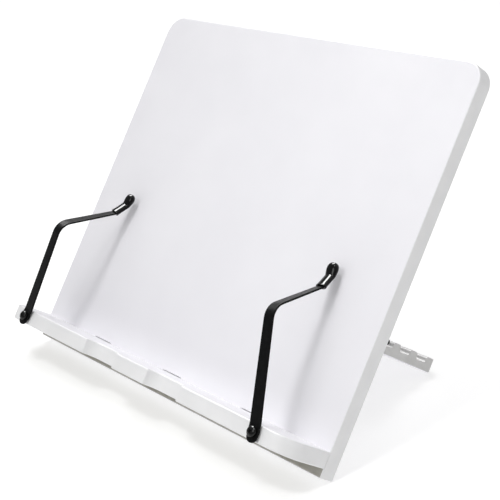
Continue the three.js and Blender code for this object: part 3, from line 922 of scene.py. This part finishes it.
def groove_cutter(index):
    """A wide groove with rounded corners and rims, as (y, z)."""
    z = BACK - GROOVE["first"] - index * GROOVE["pitch"]
    top, rim, corner = FLAP_HIGH.y, GROOVE["rim"], GROOVE["corner"]
    wall = GROOVE["width"] / 2
    low = top - GROOVE["depth"] + corner
    outline = [(top + 1, z - wall - rim), (top + 1, z + wall + rim)]
    outline += arc((top - rim, z + wall + rim), rim, 0, -90, 10)
    outline += arc((low, z + wall - corner), corner, 90, 180, 10)
    outline += arc((low, z - wall + corner), corner, 180, 270, 10)
    outline += arc((top - rim, z - wall - rim), rim, 90, 0, 10)
    half = FLAP_HIGH.x + 2
    return extrude(outline, lambda y, z: Vector((-half, y, z)), Vector((2 * half, 0, 0)))


def build_flap():
    low, high = FLAP_LOW.y, FLAP_HIGH.y
    slab = extrude(flap_outline(), lambda x, z: Vector((x, low, z)), Vector((0, high - low, 0)))
    made = to_object(round_edges(slab, BOARD_EDGE * 0.7, 3), "rear_flap")
    cutters = [groove_cutter(index) for index in range(GROOVE["count"])]
    cutters += drilled(SMALL_SCREW, hinge_screw_places("flap"))
    carve(made, cutters)
    complete(made, "rear_flap", "flap", LAMINATE)
    # painted shade: the flap's edges are greyer for the shade under the panel
    paint_edges(made, (0, 1, 0), FLAP_PAINTED_SHADE)
    # painted shade: the groove faces are greyer for the shade in the grooves
    paint_groove_shade(made, low + 1, high - 0.3)


# ---- hinges ----
def leaf_outline(knuckles):
    """Drawn as (x, distance from the axis): the plate reaches the axis only at its own knuckles."""
    half, reach = HINGE["width"] / 2, HINGE["barrel"] + HINGE["leaf"]
    third, gap, corner = HINGE["width"] / 3, HINGE["gap"], HINGE["corner"]
    clear = HINGE["barrel"] + HINGE["clear"]
    outline = []
    for index in (0, 1, 2):
        left = -half + index * third + (gap if index else 0)
        right = -half + (index + 1) * third - (gap if index < 2 else 0)
        depth = 0.0 if index in knuckles else clear
        if index not in knuckles:
            left, right = left - 2 * gap, right + 2 * gap
        if index == 0:
            left = -half
        if index == 2:
            right = half
        outline += [(left, depth), (right, depth)]
    outline += arc((half - corner, reach - corner), corner, 0, 90, 8)
    outline += arc((-half + corner, reach - corner), corner, 90, 180, 8)
    return outline


def barrel_solid(radius, x0, x1, edge=0.0):
    """A cylinder along x on the hinge's axis, with its ends chamfered by edge."""
    profile = [(0, x0), (radius - edge, x0), (radius, x0 + edge)]
    profile += [(radius, x1 - edge), (radius - edge, x1), (0, x1)]
    return moved(lathe(profile, 36), shift(0, HINGE_AXIS.y, HINGE_AXIS.z) @ turn_about("Y", 90))


def build_leaf(name, body, x, knuckles, place, holes):
    """One leaf: a plate with rounded corners, its rolled knuckles and countersunk holes."""
    plate = extrude(leaf_outline(knuckles), place, place(0, 0, HINGE["thick"]) - place(0, 0))
    made = to_object(round_edges(plate, HINGE["edge"], 2), name)
    third, gap = HINGE["width"] / 3, HINGE["gap"]
    radius = HINGE["barrel"] - 0.01  # a hair small, because the full barrel only touches the plate's face
    rolls = []
    for index in knuckles:
        left = x - HINGE["width"] / 2 + index * third
        rolls.append(barrel_solid(radius, left + gap, left + third - gap, HINGE["edge"]))
    carve(made, rolls, "UNION")
    bore = barrel_solid(HINGE["bore"], x - HINGE["width"], x + HINGE["width"])
    carve(made, [bore] + drilled(SMALL_SCREW, holes))
    complete(made, name, body, ZINC)


def build_hinges():
    panel_face = extents("left_hinge_panel_leaf")[1].z
    flap_face = extents("left_hinge_flap_leaf")[0].y
    for number, (side, sign) in enumerate(SIDES):
        x = sign * HINGE["x"]

        def on_panel(a, out, thick=0.0, x=x):
            return Vector((x + a, HINGE_AXIS.y + out, panel_face - thick))

        def on_flap(a, out, thick=0.0, x=x):
            return Vector((x + a, flap_face + thick, HINGE_AXIS.z - out))

        panel_holes = hinge_screw_places("panel")[2 * number:2 * number + 2]
        flap_holes = hinge_screw_places("flap")[2 * number:2 * number + 2]
        build_leaf(f"{side}_hinge_panel_leaf", "board", x, [0, 2], on_panel, panel_holes)
        build_leaf(f"{side}_hinge_flap_leaf", "flap", x, [1], on_flap, flap_holes)
        half = HINGE["width"] / 2
        pin = to_object(barrel_solid(HINGE["pin"], x - half, x + half, 0.3), "pin")
        complete(pin, f"{side}_hinge_pin", "board", ZINC)


# ---- wire bail and its clips ----
def build_bail():
    low, high = extents("wire_bail")
    foot_y, foot_z = low.y + WIRE, low.z + WIRE
    leg = FLAP_HIGH.x + BAIL_ROOM + WIRE
    corners = [
        Vector((low.x, BAIL_PIVOT.y, BAIL_PIVOT.z)), Vector((-leg, BAIL_PIVOT.y, BAIL_PIVOT.z)),
        Vector((-leg, foot_y, foot_z)), Vector((leg, foot_y, foot_z)),
        Vector((leg, BAIL_PIVOT.y, BAIL_PIVOT.z)), Vector((high.x, BAIL_PIVOT.y, BAIL_PIVOT.z)),
    ]
    line = fillet(corners, [WIRE_BEND] * 4, 14)
    made = to_object(sweep(line, WIRE, 24), "wire_bail")
    complete(made, "wire_bail", "bail", BLACK_STEEL, smooth=50)


def clip_outline():
    """Drawn as (y, z): two flanges against the panel's back and an arch over the wire."""
    base = extents("right_bail_clip")[1].z
    y, z, inner, corner = BAIL_PIVOT.y, BAIL_PIVOT.z, CLIP["inner"], CLIP["corner"]
    outer = inner + CLIP["thick"]
    reach = outer + CLIP["flange"]
    face = base - CLIP["thick"]
    outline = [(y + reach, base), (y + reach, face)]
    outline += arc((y + outer + corner, face - corner), corner, 90, 180, 4)
    outline += arc((y, z), outer, 0, -180, 20)
    outline += arc((y - outer - corner, face - corner), corner, 0, 90, 4)
    outline += [(y - reach, face), (y - reach, base), (y - inner, base)]
    outline += arc((y, z), inner, -180, 0, 20)
    outline.append((y + inner, base))
    return outline


def build_clips():
    half = CLIP["width"] / 2
    places = clip_screw_places()
    for number, (side, sign) in enumerate(SIDES):
        left = clip_x(sign) - half
        band = extrude(clip_outline(), lambda y, z: Vector((left, y, z)), Vector((2 * half, 0, 0)))
        made = to_object(round_edges(band, 0.18, 2, least=50), "clip")
        carve(made, drilled(SMALL_SCREW, places[2 * number:2 * number + 2]))
        complete(made, f"{side}_bail_clip", "board", ZINC)


# ---- stage ----
def build_floor():
    """A wide pale floor that glows a little, which keeps its shadows faint."""
    surface = Surface("floor", 0.6)
    surface.colour(surface.blend(surface.noise(3, 2), (0.57, 0.57, 0.57), (0.6, 0.6, 0.6)))
    bm = bmesh.new()
    half = FLOOR["half"]
    bm.faces.new([bm.verts.new((x * half, y * half, 0)) for x, y in ((-1, -1), (1, -1), (1, 1), (-1, 1))])
    surface.shader.inputs["Emission Color"].default_value = (1, 1, 1, 1)
    surface.shader.inputs["Emission Strength"].default_value = FLOOR["glow"]
    floor = to_object(bm, "floor")
    floor.data.materials.append(surface.material)


def sun(name, toward, value, degrees):
    """A distant lamp lying toward the given direction. value is how bright it makes a white sheet."""
    light = bpy.data.lights.new(name, "SUN")
    light.energy = value * math.pi
    light.angle = math.radians(degrees)
    made = bpy.data.objects.new(name, light)
    made.rotation_mode = "QUATERNION"
    made.rotation_quaternion = Vector(toward).to_track_quat("Z", "Y")
    bpy.context.scene.collection.objects.link(made)


def build_world():
    """A pale studio dome that is dimmer near the horizon."""
    world = bpy.data.worlds.new("studio")
    world.use_nodes = True
    nodes, links = world.node_tree.nodes, world.node_tree.links
    direction = nodes.new("ShaderNodeTexCoord").outputs["Generated"]
    split = nodes.new("ShaderNodeSeparateXYZ")
    links.new(direction, split.inputs["Vector"])
    scale = nodes.new("ShaderNodeMapRange")
    scale.inputs["From Min"].default_value = 0.0
    scale.inputs["From Max"].default_value = 1.0
    scale.inputs["To Min"].default_value = WORLD["horizon"]
    scale.inputs["To Max"].default_value = WORLD["zenith"]
    links.new(split.outputs["Z"], scale.inputs["Value"])
    links.new(scale.outputs["Result"], nodes["Background"].inputs["Strength"])
    nodes["Background"].inputs["Color"].default_value = (1, 1, 1, 1)
    bpy.context.scene.world = world


def spot(name, place, target, value, degrees, radius):
    """A soft-edged lamp that makes a white sheet at its target as bright as value."""
    light = bpy.data.lights.new(name, "SPOT")
    reach = (Vector(target) - Vector(place)).length
    light.energy = value * 4 * math.pi ** 2 * reach ** 2
    light.spot_size = math.radians(degrees)
    light.spot_blend = 1.0
    light.shadow_soft_size = radius
    aim(bpy.data.objects.new(name, light), place, target)


def gloss_card(name, place, target, size, radiance):
    """A bright card that only shows as a reflection in glossy pieces."""
    light = bpy.data.lights.new(name, "AREA")
    light.shape = "RECTANGLE"
    light.size, light.size_y = size
    light.energy = radiance * math.pi * size[0] * size[1]
    made = bpy.data.objects.new(name, light)
    made.visible_diffuse = False
    aim(made, place, target)


def aim(made, place, target):
    """Puts a lamp at a place, pointing at its target."""
    made.location = place
    made.rotation_mode = "QUATERNION"
    made.rotation_quaternion = (Vector(target) - Vector(place)).to_track_quat("-Z", "Y")
    bpy.context.scene.collection.objects.link(made)


def build_lights():
    build_world()
    spot("fill", FILL["place"], FILL["target"], FILL["value"], FILL["cone"], FILL["radius"])
    gloss_card("left_card", CARD["place"], CARD["target"], CARD["size"], CARD["radiance"])
    for name, toward, value, degrees in SUNS:
        sun(name, toward, value, degrees)
    bpy.context.scene.view_settings.view_transform = "Standard"


def build_camera():
    """Front right, 49 degrees round and 18 degrees up, with the board filling the frame."""
    azimuth, elevation = math.radians(CAMERA["azimuth"]), math.radians(CAMERA["elevation"])
    level = math.cos(elevation)
    forward = Vector((-math.sin(azimuth) * level, math.cos(azimuth) * level, -math.sin(elevation)))
    camera = bpy.data.cameras.new("camera")
    camera.sensor_width = 36
    camera.lens = CAMERA["lens"]
    camera.clip_end = 50
    made = bpy.data.objects.new("camera", camera)
    made.location = AXES.translation + Vector(CAMERA["place"])
    made.rotation_mode = "QUATERNION"
    made.rotation_quaternion = forward.to_track_quat("-Z", "Y")
    bpy.context.scene.collection.objects.link(made)
    bpy.context.scene.camera = made


build_camera()
build_panel()
build_ledge()
add_screws("ledge_screw", "board", LEDGE_SCREW, ledge_screw_places())
build_arms()
build_arm_fixings()
build_flap()
build_hinges()
add_screws("hinge_panel_screw", "board", SMALL_SCREW, hinge_screw_places("panel"))
add_screws("hinge_flap_screw", "flap", SMALL_SCREW, hinge_screw_places("flap"))
build_bail()
build_clips()
add_screws("bail_clip_screw", "board", SMALL_SCREW, clip_screw_places())
build_floor()
build_lights()
